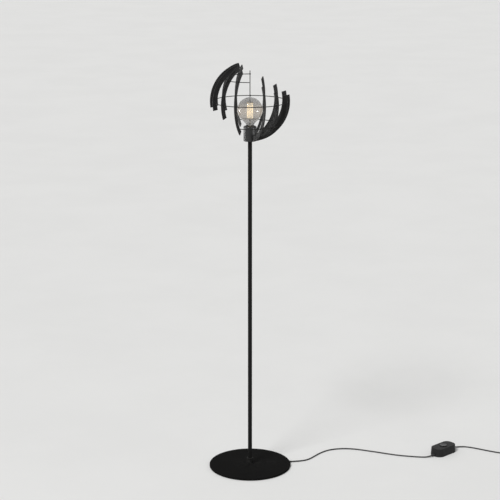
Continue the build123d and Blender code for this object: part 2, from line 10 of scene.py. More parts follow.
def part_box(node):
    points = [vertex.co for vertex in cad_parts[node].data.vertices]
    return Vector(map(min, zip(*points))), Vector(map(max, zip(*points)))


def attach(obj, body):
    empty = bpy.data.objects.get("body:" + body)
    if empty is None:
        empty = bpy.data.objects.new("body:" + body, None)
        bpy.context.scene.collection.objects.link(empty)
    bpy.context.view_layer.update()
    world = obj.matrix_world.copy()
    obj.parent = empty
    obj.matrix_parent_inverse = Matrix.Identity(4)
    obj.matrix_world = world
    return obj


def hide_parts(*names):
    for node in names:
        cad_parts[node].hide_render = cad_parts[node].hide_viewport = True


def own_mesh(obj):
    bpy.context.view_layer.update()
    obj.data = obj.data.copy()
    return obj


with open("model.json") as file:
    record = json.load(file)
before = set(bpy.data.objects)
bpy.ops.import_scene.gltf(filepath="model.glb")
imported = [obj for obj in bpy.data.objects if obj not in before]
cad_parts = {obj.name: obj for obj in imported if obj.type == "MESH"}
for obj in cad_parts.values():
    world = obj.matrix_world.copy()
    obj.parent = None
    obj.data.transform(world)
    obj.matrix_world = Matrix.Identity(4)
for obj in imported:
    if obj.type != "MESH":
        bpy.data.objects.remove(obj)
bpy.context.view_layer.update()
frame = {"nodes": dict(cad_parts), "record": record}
cadNodes = frame["nodes"]
mm = 0.001
print("frame loaded:", len(cadNodes), "nodes")


# shader groups that several finishes share

def newGroup(name, inputs, outputs):
    group = bpy.data.node_groups.new(name, "ShaderNodeTree")
    for label, value in inputs.items():
        socket = group.interface.new_socket(name=label, in_out="INPUT", socket_type="NodeSocketFloat")
        socket.default_value = value
    for label in outputs:
        group.interface.new_socket(name=label, in_out="OUTPUT", socket_type="NodeSocketFloat")
    return group, group.nodes.new("NodeGroupInput"), group.nodes.new("NodeGroupOutput")


def feed(tree, socket, value):
    # a link from another node, a colour of three numbers, or one number
    if isinstance(value, bpy.types.NodeSocket):
        tree.links.new(value, socket)
    elif isinstance(value, tuple):
        socket.default_value = (*value, 1.0)
    else:
        socket.default_value = value


def mathNode(tree, operation, first, second):
    node = tree.nodes.new("ShaderNodeMath")
    node.operation = operation
    feed(tree, node.inputs[0], first)
    feed(tree, node.inputs[1], second)
    return node.outputs[0]


def noiseNode(tree, scale, detail=2.0, roughness=0.5):
    noise = tree.nodes.new("ShaderNodeTexNoise")
    where = tree.nodes.new("ShaderNodeTexCoord")
    tree.links.new(where.outputs["Object"], noise.inputs["Vector"])
    feed(tree, noise.inputs["Scale"], scale)
    noise.inputs["Detail"].default_value = detail
    noise.inputs["Roughness"].default_value = roughness
    return noise.outputs["Fac"]


def rangeNode(tree, value, low, high, outLow=0.0, outHigh=1.0):
    node = tree.nodes.new("ShaderNodeMapRange")
    node.interpolation_type = "SMOOTHSTEP"
    for label, given in (("Value", value), ("From Min", low), ("From Max", high),
                         ("To Min", outLow), ("To Max", outHigh)):
        feed(tree, node.inputs[label], given)
    return node.outputs["Result"]


def makeGrainGroup():
    # a fine skin over a slow wave, as sprayed powder or spark-eroded plastic has
    inputs = {"Grain Scale": 1500.0, "Wave Scale": 260.0, "Wave Share": 0.5}
    group, given, out = newGroup("fineGrain", inputs, ("Height", "Patch"))
    fine = noiseNode(group, given.outputs["Grain Scale"], 3.0, 0.6)
    wave = noiseNode(group, given.outputs["Wave Scale"], 1.0)
    swell = mathNode(group, "MULTIPLY", wave, given.outputs["Wave Share"])
    group.links.new(mathNode(group, "ADD", fine, swell), out.inputs["Height"])
    group.links.new(noiseNode(group, 14.0, 3.0, 0.6), out.inputs["Patch"])
    return group


def makeWearGroup():
    # rubbed edges: where the surface is sharpest, broken up by noise
    inputs = {"Start": 0.52, "Spread": 0.06, "Break Scale": 90.0}
    group, given, out = newGroup("edgeWear", inputs, ("Mask",))
    shape = group.nodes.new("ShaderNodeNewGeometry")
    top = mathNode(group, "ADD", given.outputs["Start"], given.outputs["Spread"])
    edge = rangeNode(group, shape.outputs["Pointiness"], given.outputs["Start"], top)
    broken = rangeNode(group, noiseNode(group, given.outputs["Break Scale"], 4.0, 0.65), 0.42, 0.62)
    group.links.new(mathNode(group, "MULTIPLY", edge, broken), out.inputs["Mask"])
    return group


def makeDustGroup():
    # dust that settles on what faces up
    group, given, out = newGroup("dustFall", {"Cover": 0.5, "Speck Scale": 420.0}, ("Mask",))
    shape = group.nodes.new("ShaderNodeNewGeometry")
    split = group.nodes.new("ShaderNodeSeparateXYZ")
    group.links.new(shape.outputs["Normal"], split.inputs[0])
    facing = rangeNode(group, split.outputs["Z"], 0.35, 0.95)
    drift = rangeNode(group, noiseNode(group, 9.0, 3.0), 0.35, 0.75, 0.25, 1.0)
    speck = rangeNode(group, noiseNode(group, given.outputs["Speck Scale"], 2.0), 0.5, 0.8, 0.35, 1.0)
    settled = mathNode(group, "MULTIPLY", mathNode(group, "MULTIPLY", facing, drift), speck)
    group.links.new(mathNode(group, "MULTIPLY", settled, given.outputs["Cover"]), out.inputs["Mask"])
    return group


grainGroup = makeGrainGroup()
wearGroup = makeWearGroup()
dustGroup = makeDustGroup()


def placeGroup(tree, group, **values):
    node = tree.nodes.new("ShaderNodeGroup")
    node.node_tree = group
    for label, value in values.items():
        node.inputs[label.replace("_", " ")].default_value = value
    return node.outputs


def mixColours(tree, share, first, second):
    node = tree.nodes.new("ShaderNodeMix")
    node.data_type = "RGBA"
    tree.links.new(share, node.inputs["Factor"])
    feed(tree, node.inputs[6], first)  # the two colour inputs, A and B
    feed(tree, node.inputs[7], second)
    return node.outputs[2]


def bareMaterial(name):
    material = bpy.data.materials.new(name)
    material.use_nodes = True
    tree = material.node_tree
    return material, tree, tree.nodes["Principled BSDF"]


def bumpInto(tree, shader, height, depth, strength=1.0):
    bump = tree.nodes.new("ShaderNodeBump")
    bump.inputs["Distance"].default_value = depth
    bump.inputs["Strength"].default_value = strength
    tree.links.new(height, bump.inputs["Height"])
    tree.links.new(bump.outputs["Normal"], shader.inputs["Normal"])


dustLook = {"colour": (0.33, 0.31, 0.28), "roughen": 0.3}


def makeFinish(name, spec):
    # colour and its patches, roughness range, grain, worn edges and dust, from one dictionary
    material, tree, shader = bareMaterial(name)
    grain = placeGroup(tree, grainGroup, Grain_Scale=spec["grainScale"], Wave_Scale=spec["waveScale"])
    patch = rangeNode(tree, grain["Patch"], 0.3, 0.7)
    colour = mixColours(tree, patch, spec["colour"], spec["patchColour"])
    low, high = spec["roughness"]
    rough = rangeNode(tree, grain["Patch"], 0.3, 0.7, low, high)
    if "wearColour" in spec:
        wear = placeGroup(tree, wearGroup, Start=spec["wearStart"], Spread=spec["wearSpread"])["Mask"]
        wear = mathNode(tree, "MULTIPLY", wear, spec["wearShare"])
        colour = mixColours(tree, wear, colour, spec["wearColour"])
    if "dust" in spec:
        dust = placeGroup(tree, dustGroup, Cover=spec["dust"])["Mask"]
        colour = mixColours(tree, dust, colour, dustLook["colour"])
        rough = mathNode(tree, "ADD", rough, mathNode(tree, "MULTIPLY", dust, dustLook["roughen"]))
    tree.links.new(colour, shader.inputs["Base Color"])
    tree.links.new(rough, shader.inputs["Roughness"])
    shader.inputs["Metallic"].default_value = spec.get("metallic", 0.0)
    shader.inputs["Specular IOR Level"].default_value = spec.get("specular", 0.5)
    shader.inputs["Coat Weight"].default_value = spec.get("coat", 0.0)
    shader.inputs["Coat Roughness"].default_value = 0.1
    bumpInto(tree, shader, grain["Height"], spec["bump"], spec.get("bumpStrength", 1.0))
    return material


powderCoat = {
    "colour": (0.0070, 0.0069, 0.0068), "patchColour": (0.0100, 0.0098, 0.0096),
    "roughness": (0.54, 0.66), "specular": 0.22, "grainScale": 1500.0, "waveScale": 300.0,
    "bump": 0.00010, "bumpStrength": 0.6, "wearColour": (0.045, 0.044, 0.043),
    "wearStart": 0.53, "wearSpread": 0.08, "wearShare": 0.35, "dust": 0.05,
}
plainZinc = {
    "colour": (0.58, 0.58, 0.56), "patchColour": (0.66, 0.65, 0.60), "roughness": (0.28, 0.42),
    "metallic": 1.0, "grainScale": 900.0, "waveScale": 120.0, "bump": 0.00004, "bumpStrength": 0.5,
}
blackPlastic = {
    "colour": (0.0105, 0.0105, 0.0108), "patchColour": (0.0145, 0.0145, 0.0148),
    "roughness": (0.34, 0.44), "specular": 0.42, "grainScale": 1900.0, "waveScale": 500.0,
    "bump": 0.00006, "bumpStrength": 0.5, "dust": 0.06,
}
finishSpecs = {
    "cage_coat": powderCoat,
    "wire_coat": dict(powderCoat, roughness=(0.42, 0.52), bump=0.00005),
    "stand_coat": dict(powderCoat, roughness=(0.68, 0.78), specular=0.12, dust=0.03),
    "base_coat": dict(powderCoat, colour=(0.0050, 0.0049, 0.0048), patchColour=(0.0066, 0.0065, 0.0064),
                      roughness=(0.80, 0.90), specular=0.03, dust=0.008),
    "cover_coat": dict(powderCoat, colour=(0.0125, 0.0125, 0.0125), patchColour=(0.016, 0.016, 0.016),
                       roughness=(0.36, 0.44), bump=0.00004, specular=0.4),
    "foam": dict(blackPlastic, roughness=(0.85, 0.95), grainScale=700.0, bump=0.0004, specular=0.2),
    "dark_screw": dict(plainZinc, colour=(0.03, 0.03, 0.03), patchColour=(0.05, 0.048, 0.045)),
    "zinc_steel": plainZinc,
    "holder_plastic": dict(blackPlastic, roughness=(0.3, 0.4)),
    "ceramic_insert": dict(blackPlastic, colour=(0.78, 0.76, 0.71), patchColour=(0.72, 0.70, 0.64),
                           roughness=(0.2, 0.3)),
    "contact_brass": dict(plainZinc, colour=(0.70, 0.50, 0.20), patchColour=(0.62, 0.43, 0.17)),
    "lead_wire": dict(blackPlastic, colour=(0.16, 0.075, 0.035), patchColour=(0.14, 0.065, 0.03)),
    "bulb_cap": dict(plainZinc, colour=(0.72, 0.70, 0.66), patchColour=(0.66, 0.63, 0.58),
                     roughness=(0.18, 0.30), wearColour=(0.35, 0.31, 0.26), wearStart=0.53,
                     wearSpread=0.05, wearShare=0.5),
    "bulb_insulator": dict(blackPlastic, roughness=(0.08, 0.14), coat=0.3),
    "bulb_tip": dict(plainZinc, colour=(0.50, 0.50, 0.49), patchColour=(0.40, 0.40, 0.39),
                     roughness=(0.35, 0.5), waveScale=260.0, bump=0.0003),
    "support_wire": dict(plainZinc, colour=(0.55, 0.53, 0.50), patchColour=(0.50, 0.48, 0.45)),
    "cord_sheath": dict(blackPlastic, roughness=(0.36, 0.46), grainScale=1100.0, dust=0.08),
    "rim_rubber": dict(blackPlastic, roughness=(0.55, 0.65), grainScale=1300.0),
    "switch_shell": dict(blackPlastic, roughness=(0.48, 0.58), specular=0.2, dust=0.02,
                         wearColour=(0.03, 0.03, 0.031), wearStart=0.54, wearSpread=0.08, wearShare=0.4),
    "switch_button": dict(blackPlastic, roughness=(0.22, 0.30), bump=0.00003, dust=0.03),
    "contact_block": dict(blackPlastic, colour=(0.74, 0.71, 0.64), patchColour=(0.70, 0.67, 0.60)),
    "spring_steel": plainZinc,
    "plug_moulding": dict(blackPlastic, roughness=(0.40, 0.50)),
    "plug_pin": dict(plainZinc, colour=(0.72, 0.70, 0.66), patchColour=(0.68, 0.66, 0.62),
                     roughness=(0.14, 0.24)),
}
finishes = {slotName: makeFinish(slotName, spec) for slotName, spec in finishSpecs.items()}


# tint and IOR are the glass's own; the glow colour, its strength and its band heights are a painted glow on
# the glass
glassLook = {
    "tint": (0.60, 0.595, 0.59), "stemTint": (0.95, 0.95, 0.93), "ior": 1.47,
    "glow": (1.0, 0.80, 0.58), "paintedGlowStrength": 0.075, "paintedGlowLow": 1.376, "paintedGlowMid": 1.420, "paintedGlowHigh": 1.458,
}


def makeGlass(name, tint):
    material, tree, shader = bareMaterial(name)
    shader.inputs["Base Color"].default_value = (*tint, 1.0)
    shader.inputs["Transmission Weight"].default_value = 1.0
    shader.inputs["IOR"].default_value = glassLook["ior"]
    smear = noiseNode(tree, 26.0, 4.0, 0.7)
    tree.links.new(rangeNode(tree, smear, 0.45, 0.8, 0.0, 0.05), shader.inputs["Roughness"])
    bumpInto(tree, shader, noiseNode(tree, 18.0, 1.0), 0.0004, 0.5)
    return material


def makeGlassWithPaintedGlow(name, tint):
    # painted glow: a warm emission on the glass in a band at the filaments' height, standing in for their
    # light in the smoky glass
    material = makeGlass(name, tint)
    tree, look = material.node_tree, glassLook
    shader = tree.nodes["Principled BSDF"]
    split = tree.nodes.new("ShaderNodeSeparateXYZ")
    where = tree.nodes.new("ShaderNodeTexCoord")
    tree.links.new(where.outputs["Object"], split.inputs[0])
    # painted glow: the band at the filaments' height, broken up by noise, becomes the glass's emission
    rise = rangeNode(tree, split.outputs["Z"], look["paintedGlowLow"], look["paintedGlowMid"])
    fall = rangeNode(tree, split.outputs["Z"], look["paintedGlowMid"], look["paintedGlowHigh"], 1.0, 0.0)
    paintedGlowBand = mathNode(tree, "MULTIPLY", rise, fall)
    cloud = rangeNode(tree, noiseNode(tree, 45.0, 3.0), 0.3, 0.7, 0.75, 1.0)
    shade = mixColours(tree, mathNode(tree, "MULTIPLY", paintedGlowBand, cloud), (0.0, 0.0, 0.0), look["glow"])
    tree.links.new(shade, shader.inputs["Emission Color"])
    shader.inputs["Emission Strength"].default_value = look["paintedGlowStrength"]
    return material


glowLook = {
    "skin": (0.52, 0.43, 0.26), "skinBead": (0.58, 0.50, 0.34), "roughness": 0.6, "beadScale": 1400.0,
    "light": (1.0, 0.89, 0.70), "lightBead": (1.0, 0.93, 0.78), "strength": 0.8,
}


def makeGlow(name):
    # phosphor-coated strip: a cream skin of fine beads that shines by itself
    look = glowLook
    material, tree, shader = bareMaterial(name)
    beads = noiseNode(tree, look["beadScale"], 2.0)
    shade = mixColours(tree, rangeNode(tree, beads, 0.35, 0.65), look["skin"], look["skinBead"])
    tree.links.new(shade, shader.inputs["Base Color"])
    lit = mixColours(tree, rangeNode(tree, beads, 0.3, 0.7), look["light"], look["lightBead"])
    tree.links.new(lit, shader.inputs["Emission Color"])
    shader.inputs["Emission Strength"].default_value = look["strength"]
    shader.inputs["Roughness"].default_value = look["roughness"]
    bumpInto(tree, shader, beads, 0.0001, 0.5)
    return material


finishes["smoke_glass"] = makeGlassWithPaintedGlow("smoke_glass", glassLook["tint"])
finishes["stem_glass"] = makeGlass("stem_glass", glassLook["stemTint"])
finishes["filament"] = makeGlow("filament")

slotOf = {row["node"]: row["material_slot"] for row in frame["record"]["subparts"]}
for nodeName, node in cadNodes.items():
    node.data.materials.clear()
    node.data.materials.append(finishes[slotOf[nodeName]])
cadNodes["base_plate"].data.materials[0] = finishes["base_coat"]  # duller than the pole
print("finishes made:", len(finishes))


# cords: their route points and lengths, in millimetres apart from the two cord lengths, which are in metres

cordFacts = {
    "diameter": 5.0, "lieZ": 2.8, "exitZ": 4.2, "exitAngle": 10.5, "exitInset": 1.0,
    "switchCentre": (781.0, 133.0, 7.0), "switchAngle": 43.0, "switchHalf": 39.5, "switchLead": 30.0,
    "coilEntry": (1052.0, 109.0, 2.8), "coilAngle": -24.0, "coilOuterR": 37.2, "coilPitch": 5.6,
    "coilLayerH": 5.6, "coilHalfTurns": 6, "pointsPerHalfTurn": 12,
    "plugEntry": (1127.6, 140.0, 6.85), "plugAngle": 86.0,
    "rimLead": 23.0, "coilLead": 20.0, "tailLead": 13.0, "plugLead": 15.0,
    "lengthToSwitch": 0.675, "lengthToPlug": 1.466,
}


def headed(angle, distance=1.0):
    turn = math.radians(angle)
    return Vector((math.cos(turn), math.sin(turn), 0.0)) * distance


def aheadOf(point, angle, distance):
    return Vector(point) + headed(angle, distance)


def lying(*spots):
    return [(*spot, cordFacts["lieZ"]) for spot in spots]


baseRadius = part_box("base_plate")[1].x / mm
rimExit = headed(cordFacts["exitAngle"], baseRadius - cordFacts["exitInset"])
rimExit.z = cordFacts["exitZ"]
switchIn = aheadOf(cordFacts["switchCentre"], cordFacts["switchAngle"], -cordFacts["switchHalf"])
switchOut = aheadOf(cordFacts["switchCentre"], cordFacts["switchAngle"], cordFacts["switchHalf"])
coilStart = aheadOf(cordFacts["coilEntry"], cordFacts["coilAngle"], -cordFacts["diameter"])

routeToSwitch = [
    rimExit, aheadOf(rimExit, cordFacts["exitAngle"], cordFacts["rimLead"]), (202, 39.5, 3.0),
    *lying((228, 51), (248, 74), (267, 103), (290, 133), (316, 156), (346, 169), (380, 174), (415, 171),
           (447, 161.5), (481, 147.5), (515, 134), (551, 118), (588, 103), (622, 93.5), (657, 85.5),
           (690, 80.5)),
    (709, 80.2, 3.4), aheadOf(switchIn, cordFacts["switchAngle"], -cordFacts["switchLead"]), switchIn]
routeToCoil = [
    switchOut, aheadOf(switchOut, cordFacts["switchAngle"], cordFacts["switchLead"]), (849, 190.5, 4.0),
    *lying((873, 195.5), (900, 187), (925, 173), (950, 158.5), (977, 143), (1004, 129.5)),
    aheadOf(coilStart, cordFacts["coilAngle"], -cordFacts["coilLead"]), coilStart]


def coilPoints():
    # half turns that spiral in, climb a layer and spiral out; each edge of the control
    # line touches the turn's circle, so the spline lies on the circle
    facts = cordFacts
    count = facts["pointsPerHalfTurn"]
    step = 180.0 / count
    shrink = facts["coilPitch"] / 2
    inward = [facts["coilOuterR"] - index * shrink for index in range(facts["coilHalfTurns"])]
    plan = [(r, 0.0) for r in inward] + [(inward[-1] - shrink, facts["coilLayerH"])]
    plan += [(r, 0.0) for r in inward[:0:-1]]
    point, heading, points = Vector(facts["coilEntry"]), facts["coilAngle"], []
    for radius, climb in plan:
        centre = point + headed(heading + 90, radius)
        reach = radius / math.cos(math.radians(step / 2))
        for index in range(count):
            share = (index + 0.5) / count
            spot = centre + headed(heading - 90 + share * 180, reach)
            spot.z = point.z + climb * (3 - 2 * share) * share ** 2
            points.append(spot)
        point = centre + headed(heading + 90, radius) + Vector((0, 0, climb))
        heading += 180
    return points, point


coilLine, coilExit = coilPoints()
coilEnd = aheadOf(coilExit, cordFacts["coilAngle"], cordFacts["diameter"])
tailRoute = [
    coilEnd, aheadOf(coilEnd, cordFacts["coilAngle"], cordFacts["tailLead"]), (1089, 95.5, 5.2),
    (1110, 99.5, 3.4), (1123, 115, 4.4),
    aheadOf(cordFacts["plugEntry"], cordFacts["plugAngle"], -cordFacts["plugLead"]), cordFacts["plugEntry"]]


def makeCord(name, route, replaced):
    data = bpy.data.curves.new(name, "CURVE")
    data.dimensions = "3D"
    data.bevel_depth = cordFacts["diameter"] / 2 * mm
    data.bevel_resolution = 6
    data.resolution_u = 8
    data.use_fill_caps = True
    spline = data.splines.new("NURBS")
    spline.points.add(len(route) - 1)
    for point, spot in zip(spline.points, route):
        point.co = (*(Vector(spot) * mm), 1.0)
    spline.order_u = 3
    spline.use_endpoint_u = True
    cord = bpy.data.objects.new(name, data)
    bpy.context.scene.collection.objects.link(cord)
    data.materials.append(finishes["cord_sheath"])
    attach(cord, "root")
    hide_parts(*replaced)
    return cord


cordToSwitch = makeCord("cordToSwitch", routeToSwitch, ["cord_to_switch"])
cordToPlug = makeCord("cordToPlug", routeToCoil + coilLine + tailRoute,
                      ["cord_to_coil", "cord_coil", "cord_tail"])


poleCord = {"leanBack": 3.5, "leanTopZ": 269.0, "leanLowZ": 169.0, "aboveLean": 40.0, "elbow": 10.0}


def routeDownPole():
    # down the pole's middle, over a little to one side, then round into the plate's groove
    angle, spec = cordFacts["exitAngle"], poleCord
    aside = headed(angle, -spec["leanBack"])
    turn = aside + Vector((0, 0, cordFacts["exitZ"]))
    return [(0, 0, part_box("cord_in_pole")[1].z / mm), (0, 0, spec["leanTopZ"] + spec["aboveLean"]),
            (0, 0, spec["leanTopZ"]), aside + Vector((0, 0, spec["leanLowZ"])),
            turn + Vector((0, 0, 2 * spec["elbow"])), turn, turn + headed(angle, 2 * spec["elbow"]),
            rimExit]


makeCord("cordInPole", routeDownPole(), ["cord_in_pole"])
print("cords laid")


# mesh helpers: outlines are in millimetres, finished meshes in metres

def softened(outline, closed=True, steps=5):
    # each corner is (across, up, rounding); a rounded corner becomes a short arc
    spots = []
    last = len(outline) - 1
    for index, (across, up, rounding) in enumerate(outline):
        here = Vector((across, up))
        if rounding <= 0 or (not closed and index in (0, last)):
            spots.append(here)
            continue
        before = (Vector(outline[index - 1][:2]) - here).normalized()
        after = (Vector(outline[0 if index == last else index + 1][:2]) - here).normalized()
        half = before.angle(after) / 2
        centre = here + (before + after).normalized() * (rounding / math.sin(half))
        start = here + before * (rounding / math.tan(half)) - centre
        end = here + after * (rounding / math.tan(half)) - centre
        first = math.atan2(start.y, start.x)
        turn = (math.atan2(end.y, end.x) - first + math.pi) % (2 * math.pi) - math.pi
        for step in range(steps + 1):
            angle = first + turn * step / steps
            spots.append(centre + rounding * Vector((math.cos(angle), math.sin(angle))))
    return spots


def onCircle(radius, turn, z=0.0):
    return Vector((radius * math.cos(turn), radius * math.sin(turn), z))


def fullTurn(count):
    return [2 * math.pi * index / count for index in range(count)]


def joinRings(bm, first, second):
    count = max(len(first), len(second))
    for index in range(count):
        after = (index + 1) % count
        if len(first) == 1 and len(second) > 1:
            bm.faces.new((first[0], second[after], second[index]))
        elif len(second) == 1 and len(first) > 1:
            bm.faces.new((first[index], first[after], second[0]))
        elif len(first) > 1:
            bm.faces.new((first[index], first[after], second[after], second[index]))


def skinRings(bm, rings, closed=False, capped=False):
    for first, second in zip(rings, rings[1:]):
        joinRings(bm, first, second)
    if closed:
        joinRings(bm, rings[-1], rings[0])
    elif capped:
        bm.faces.new(rings[0])
        bm.faces.new(rings[-1])


def addLathe(bm, spots, segments=96, place=Matrix(), closed=True):
    rings = []
    for radius, height in spots:
        turns = [0.0] if radius < 1e-6 else fullTurn(segments)  # one point on the axis
        rings.append([bm.verts.new(place @ onCircle(radius, turn, height)) for turn in turns])
    skinRings(bm, rings, closed)


def addTube(bm, line, radius, sides=16, closed=False, endRound=0.3, upward=(0, 0, 1)):
    # a round bar along a line of points, with its two ends slightly rounded
    line = [Vector(spot) for spot in line]
    stations = [(spot, radius) for spot in line]
    if not closed:
        lead = (line[1] - line[0]).normalized() * endRound
        tail = (line[-2] - line[-1]).normalized() * endRound
        stations[0] = (line[0] + lead, radius)
        stations[-1] = (line[-1] + tail, radius)
        stations.insert(0, (line[0] + lead * 0.3, radius - endRound * 0.3))
        stations.insert(0, (line[0], radius - endRound))
        stations.append((line[-1] + tail * 0.3, radius - endRound * 0.3))
        stations.append((line[-1], radius - endRound))
    rings = []
    for index, (spot, size) in enumerate(stations):
        if closed:
            forward = stations[(index + 1) % len(stations)][0] - stations[index - 1][0]
        else:
            forward = stations[min(index + 1, len(stations) - 1)][0] - stations[max(index - 1, 0)][0]
        side = forward.cross(Vector(upward)).normalized()
        up = side.cross(forward).normalized()
        rings.append([bm.verts.new(spot + size * (side * math.cos(turn) + up * math.sin(turn)))
                      for turn in fullTurn(sides)])
    skinRings(bm, rings, closed, capped=True)


def addPiece(name, bm, slotName, replaced=(), body="root", sharp=35.0):
    bmesh.ops.recalc_face_normals(bm, faces=bm.faces)
    bm.transform(Matrix.Scale(mm, 4))
    mesh = bpy.data.meshes.new(name)
    bm.to_mesh(mesh)
    bm.free()
    mesh.shade_smooth()
    mesh.set_sharp_from_angle(angle=math.radians(sharp))
    piece = bpy.data.objects.new(name, mesh)
    bpy.context.scene.collection.objects.link(piece)
    mesh.materials.append(finishes[slotName])
    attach(piece, body)
    if replaced:
        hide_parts(*replaced)
    return piece


def lathePiece(name, outline, slotName, replaced=(), body="root", segments=96, place=Matrix(),
               sharp=35.0, closed=True, steps=5):
    # a closed outline goes round a bore, an open one starts and ends on the axis
    bm = bmesh.new()
    addLathe(bm, softened(outline, closed, steps), segments, place, closed)
    return addPiece(name, bm, slotName, replaced, body, sharp)


def axisPlace(origin, angle):
    # stands a lathe's Z axis along a heading on the floor plan
    return Matrix.Translation(Vector(origin)) @ Matrix.Rotation(math.radians(angle), 4, "Z") \
        @ Matrix.Rotation(math.radians(90), 4, "Y")


# cage: flat ribs, the wires through them and the welds

cage = {
    "centreZ": 1456.0, "outerR": 150.0, "ribWidth": 18.0, "ribThickness": 3.2, "ribEdge": 0.45,
    "ribStep": 1.6, "hubR": 24.6, "wireD": 3.0, "wireR": 141.0, "wireLat": 38.1, "wireStub": 3.5,
    "wireEnd": 0.35, "upperGap": 1.0, "lowerFrom": -22.5, "lowerTo": 202.5, "footLat": -80.0,
    "leftEnds": {22.5: (58.5, -49), 45: (66, -21), 67.5: (71, -10.5),
                 90: (74, -9)},
    "rightEnds": {22.5: (31, None), 45: (20, None), 67.5: (12.5, None), 90: (10, None)},
    "backEnds": (42, None),
}
weld = {
    "footR": 2.7, "tipR": 1.5, "reach": 1.7, "hubBead": 1.25, "hubLump": 0.16, "lumpEvery": 2.3,
    "hubSteps": 40, "hubOut": 0.25, "hubAside": 0.2, "lowTrim": 1.2, "highTrim": 1.4,
}


def ribPlan():
    # node name: azimuth from the front (positive to the right), top and low latitude
    plan = {"rib_back": (180.0, *cage["backEnds"])}
    labels = {22.5: "front", 45: "front_mid", 67.5: "front_side", 90: "side"}
    for angle, label in labels.items():
        plan["rib_left_" + label] = (-angle, *cage["leftEnds"][angle])
        plan["rib_right_" + label] = (angle, *cage["rightEnds"][angle])
        if angle < 90:
            rear = label.replace("front", "back")
            plan["rib_left_" + rear] = (angle - 180, *cage["leftEnds"][angle])
            plan["rib_right_" + rear] = (180 - angle, *cage["rightEnds"][angle])
    return plan


def cagePoint(azimuth, radius, latitude, aside=0.0):
    lift = math.radians(latitude)
    spot = headed(azimuth - 90, radius * math.cos(lift)) + headed(azimuth, aside)
    spot.z = cage["centreZ"] + radius * math.sin(lift)
    return spot


def ribSection():
    # one cut through the rib as (distance from the cage's centre, distance aside)
    outer, inner = cage["outerR"], cage["outerR"] - cage["ribWidth"]
    half, edge = cage["ribThickness"] / 2, cage["ribEdge"]
    corners = [(outer, half, edge), (outer, -half, edge), (inner, -half, edge), (inner, half, edge)]
    return softened(corners, steps=3)


def addRib(bm, azimuth, top, low):
    edge = cage["ribEdge"]
    inner, outer = cage["outerR"] - cage["ribWidth"], cage["outerR"]
    half = cage["ribThickness"] / 2
    section = ribSection()
    lowest = cage["footLat"] if low is None else low
    count = max(8, round((top - lowest) / cage["ribStep"]))
    stations = [(0.0, 0.0, edge), (0.0, edge * 0.3, edge * 0.3), (0.0, edge, 0.0)]
    stations += [(index / count, 0.0, 0.0) for index in range(1, count)]
    stations += [(1.0, -edge, 0.0), (1.0, -edge * 0.3, edge * 0.3), (1.0, 0.0, edge)]
    rings = []
    for share, along, inset in stations:
        ring = []
        for radius, aside in section:
            r = min(max(radius, inner + inset), outer - inset)
            w = min(max(aside, inset - half), half - inset)
            start = -math.degrees(math.acos(cage["hubR"] / r)) if low is None else low
            latitude = start + (top - start) * share + math.degrees(along / r)
            ring.append(bm.verts.new(cagePoint(azimuth, r, latitude, w)))
        rings.append(ring)
    skinRings(bm, rings, capped=True)


def addWireWeld(bm, azimuth, latitude, rng):
    # a small fillet round the wire on each face of the rib
    for side in (-1, 1):
        face = cagePoint(azimuth, cage["wireR"], latitude, side * (cage["ribThickness"] / 2 - 0.1))
        foot = weld["footR"] * rng.uniform(0.9, 1.08)
        tip, reach = weld["tipR"], weld["reach"] * rng.uniform(0.85, 1.15)
        outline = [(tip - 0.2, 0), (foot, 0), (foot * 0.93, reach * 0.2), (foot * 0.72, reach * 0.5),
                   (tip + 0.18, reach * 0.85), (tip, reach), (tip - 0.2, reach)]
        place = axisPlace(face, azimuth if side > 0 else azimuth + 180)
        addLathe(bm, outline, 14, place)


def addHubWeld(bm, azimuth, rng):
    # a lumpy bead down each corner between the rib's end and the hub
    inner, centre = cage["outerR"] - cage["ribWidth"], cage["centreZ"]
    low = centre - math.sqrt(cage["outerR"] ** 2 - cage["hubR"] ** 2) + weld["lowTrim"]
    high = centre - math.sqrt(inner ** 2 - cage["hubR"] ** 2) - weld["highTrim"]
    out, across = headed(azimuth - 90), headed(azimuth)
    steps = weld["hubSteps"]
    for side in (-1, 1):
        phase = rng.uniform(0, 2 * math.pi)
        outline = [(0, low)]
        for index in range(1, steps):
            z = low + (high - low) * index / steps
            bead = weld["hubBead"] + weld["hubLump"] * math.sin(phase + 2 * math.pi * z / weld["lumpEvery"])
            outline.append((bead * min(1.0, 2.2 * min(index, steps - index) / steps) ** 0.5, z))
        outline.append((0, high))
        aside = cage["ribThickness"] / 2 + weld["hubAside"]
        spot = out * (cage["hubR"] + weld["hubOut"]) + across * side * aside
        addLathe(bm, outline, 12, Matrix.Translation(spot), closed=False)


def makeCage():
    rng = random.Random(11)
    welds = bmesh.new()
    for node, (azimuth, top, low) in ribPlan().items():
        bm = bmesh.new()
        addRib(bm, azimuth, top, low)
        addPiece(node.replace("rib", "flatRib"), bm, "cage_coat", [node])
        for latitude in (-cage["wireLat"], 0.0, cage["wireLat"]):
            if (-90 if low is None else low) < latitude < top:
                addWireWeld(welds, azimuth, latitude, rng)
        if low is None:
            addHubWeld(welds, azimuth, rng)
    addPiece("cageWelds", welds, "cage_coat", sharp=60.0)
    makeCageWires()
    print("cage built")


def makeCageWires():
    lat = cage["wireLat"]
    stub = math.degrees(cage["wireStub"] / (cage["wireR"] * math.cos(math.radians(lat))))
    runs = {"ring_upper": (lat, -180 - stub, -cage["upperGap"]), "ring_middle": (0.0, 0.0, 360.0),
            "ring_lower": (-lat, cage["lowerFrom"] - stub, cage["lowerTo"] + stub)}
    for node, (latitude, start, end) in runs.items():
        closed = end - start >= 360
        count = round((end - start) / 2)
        stops = range(count) if closed else range(count + 1)
        line = [cagePoint(start + (end - start) * index / count, cage["wireR"], latitude)
                for index in stops]
        bm = bmesh.new()
        addTube(bm, line, cage["wireD"] / 2, 20, closed, cage["wireEnd"])
        addPiece(node.replace("ring", "wireRing"), bm, "wire_coat", [node])


# pole, hub and socket cover

